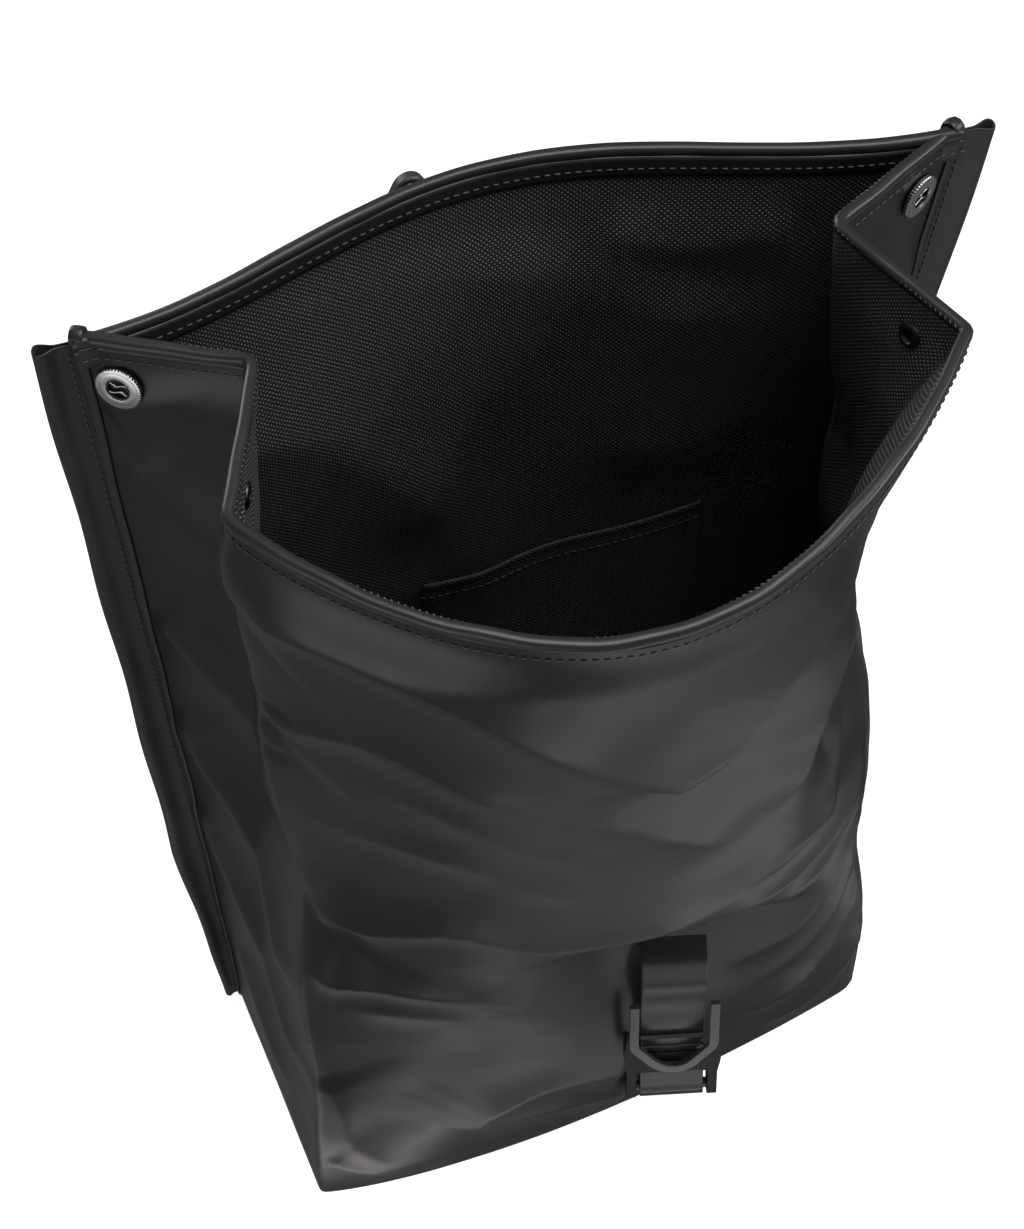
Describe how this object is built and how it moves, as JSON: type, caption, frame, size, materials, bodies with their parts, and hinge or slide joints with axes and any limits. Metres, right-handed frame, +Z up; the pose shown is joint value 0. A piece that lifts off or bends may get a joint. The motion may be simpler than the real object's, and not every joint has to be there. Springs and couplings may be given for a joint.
{
  "type": "roll-top backpack",
  "caption": "Soft roll-top backpack standing unrolled and open, with folding gussets, snap fasteners, a hook-and-ring closure, padded back and shoulder straps.",
  "frame": {"origin": "middle of the base where it rests on the floor", "axes": "+X along the width, -Y out of the front panel that carries the hook, +Y the back with the shoulder straps, +Z up"},
  "size_m": [0.3538, 0.2379, 0.5],
  "materials": {
    "shell": "smooth matt coated, soft sheen",
    "hem": "smooth coated fabric rolled over the rim",
    "wing": "smooth coated fabric with a stitched binding",
    "lining": "coarse woven, matt",
    "board": "plain sheet",
    "snap_metal": "gunmetal plated",
    "hook_metal": "satin dark grey paint",
    "strap_leather": "smooth, satin",
    "pad_mesh": "spacer mesh",
    "strap_pad": "padded, coated face and mesh back",
    "webbing": "flat ribbed webbing",
    "adjuster_plastic": "moulded"
  },
  "bodies": {
    "bag": {"back_lining": "lining", "back_pad": "pad_mesh", "back_panel": "shell", "back_rim_hem": "hem", "base_board": "board", "base_lining": "lining", "base_panel": "shell", "closure_strap_anchor": "strap_leather", "front_lining": "lining", "front_panel": "shell", "front_rim_hem": "hem", "front_strap_anchor": "strap_leather", "inner_pocket": "lining", "left_anchor_tab": "strap_leather", "left_gusset": "shell", "left_handle_tab": "strap_leather", "left_lining": "lining", "left_lower_webbing": "webbing", "left_rim_hem": "hem", "left_shoulder_strap": "strap_pad", "left_snap_socket": "snap_metal", "left_snap_stud": "snap_metal", "left_socket_cap": "snap_metal", "left_stud_eyelet": "snap_metal", "left_wing": "wing", "left_wing_binding": "wing", "right_anchor_tab": "strap_leather", "right_gusset": "shell", "right_handle_tab": "strap_leather", "right_lining": "lining", "right_lower_webbing": "webbing", "right_rim_hem": "hem", "right_shoulder_strap": "strap_pad", "right_snap_socket": "snap_metal", "right_snap_stud": "snap_metal", "right_socket_cap": "snap_metal", "right_stud_eyelet": "snap_metal", "right_wing": "wing", "right_wing_binding": "wing", "strap_yoke": "strap_leather"},
    "front_strap": {"front_strap": "strap_leather"},
    "hook": {"closure_hook": "hook_metal", "hook_plate": "hook_metal", "hook_bar": "hook_metal"},
    "closure_strap": {"closure_strap": "strap_leather"},
    "closure_ring": {"closure_ring": "hook_metal"},
    "carry_handle": {"carry_handle": "strap_leather"},
    "left_adjuster": {"left_adjuster": "adjuster_plastic"},
    "right_adjuster": {"right_adjuster": "adjuster_plastic"}
  },
  "joints": [
    {"name": "front_strap_flip", "type": "hinge", "parent": "bag", "child": "front_strap", "pos_m": [0.03571, -0.05901, 0.12148], "axis": [-0.9432, 0.3322, 0], "range_deg": [0, 115]},
    {"name": "hook_pivot", "type": "hinge", "parent": "front_strap", "child": "hook", "pos_m": [0.0274, -0.0826, 0.0288], "axis": [0.9432, -0.3322, 0], "range_deg": [0, 100]},
    {"name": "closure_strap_flip", "type": "hinge", "parent": "bag", "child": "closure_strap", "pos_m": [-0.022, 0.07959, 0.395], "axis": [-1, 0, 0], "range_deg": [0, 150]},
    {"name": "closure_ring_pivot", "type": "hinge", "parent": "closure_strap", "child": "closure_ring", "pos_m": [-0.022, 0.08304, 0.46091], "axis": [-1, 0, 0], "range_deg": [0, 70]},
    {"name": "carry_handle_swing", "type": "hinge", "parent": "bag", "child": "carry_handle", "pos_m": [0, 0.08202, 0.374], "axis": [1, 0, 0], "range_deg": [0, 150]},
    {"name": "left_adjuster_slide", "type": "slide", "parent": "bag", "child": "left_adjuster", "axis": [0, -0.2633, -0.9647], "range_m": [0, 0.055]},
    {"name": "right_adjuster_slide", "type": "slide", "parent": "bag", "child": "right_adjuster", "axis": [0, -0.2373, -0.9714], "range_m": [0, 0.055]}
  ]
}
